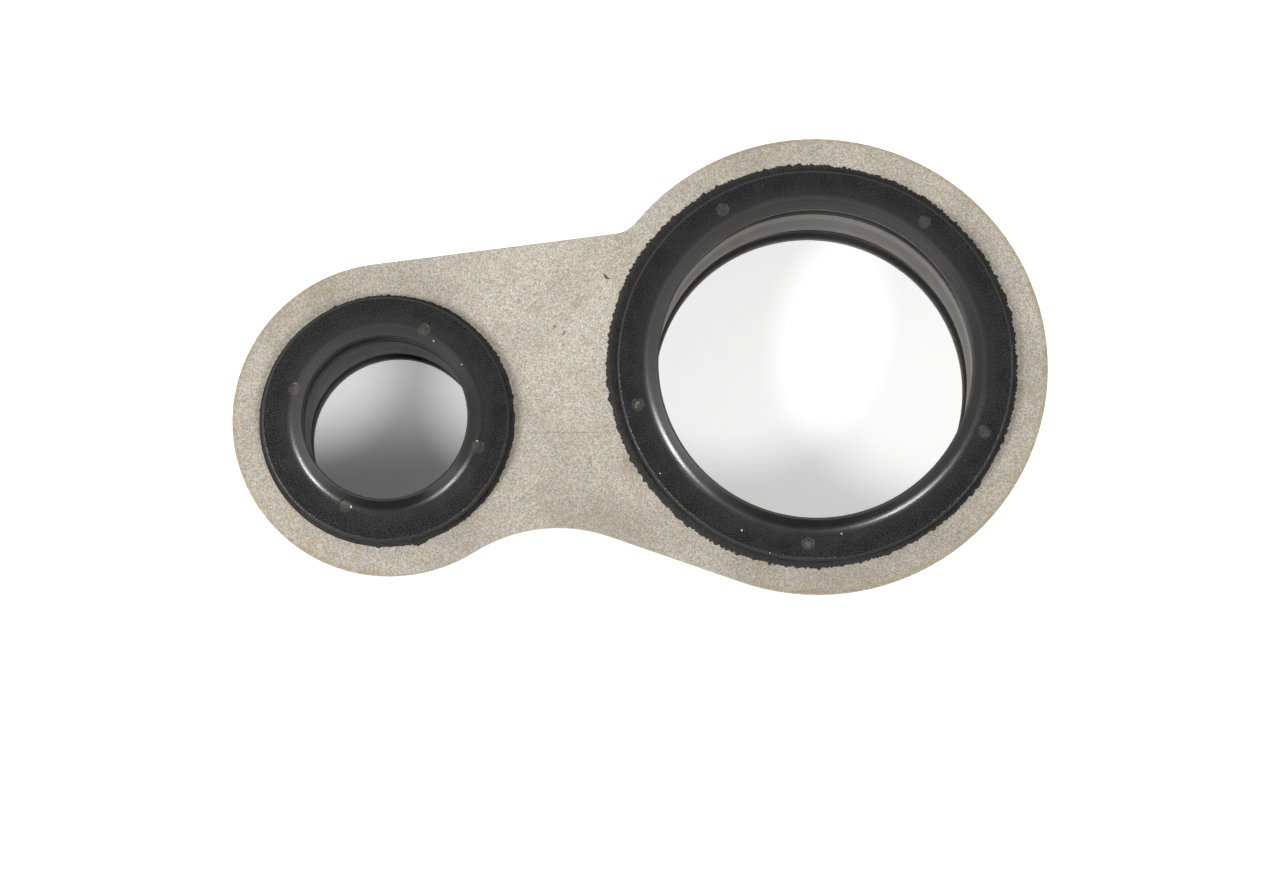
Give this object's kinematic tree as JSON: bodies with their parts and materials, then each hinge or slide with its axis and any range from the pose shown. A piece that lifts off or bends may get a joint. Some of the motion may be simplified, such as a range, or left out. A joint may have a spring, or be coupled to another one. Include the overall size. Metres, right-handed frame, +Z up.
{
  "type": "valve body seal",
  "caption": "Flat steel carrier plate with a large and a small rubber ring seal bonded through its ports, each with a raised lip round its mouth and a second lip at its foot.",
  "frame": {"origin": "on the large port's axis, level with the crown faces, inside the top lip's bore", "axes": "+Z up out of the ports, normal to the plate, on the side with the raised lips; +X from the small port towards the large port; +Y across the plate, towards its straight edge"},
  "size_m": [0.095, 0.0538, 0.019],
  "materials": {
    "plate_steel": "dull matte",
    "seal_rubber": "satin"
  },
  "bodies": {
    "root": {"carrier_plate": "plate_steel", "large_port_seal": "seal_rubber", "small_port_seal": "seal_rubber"}
  },
  "joints": []
}
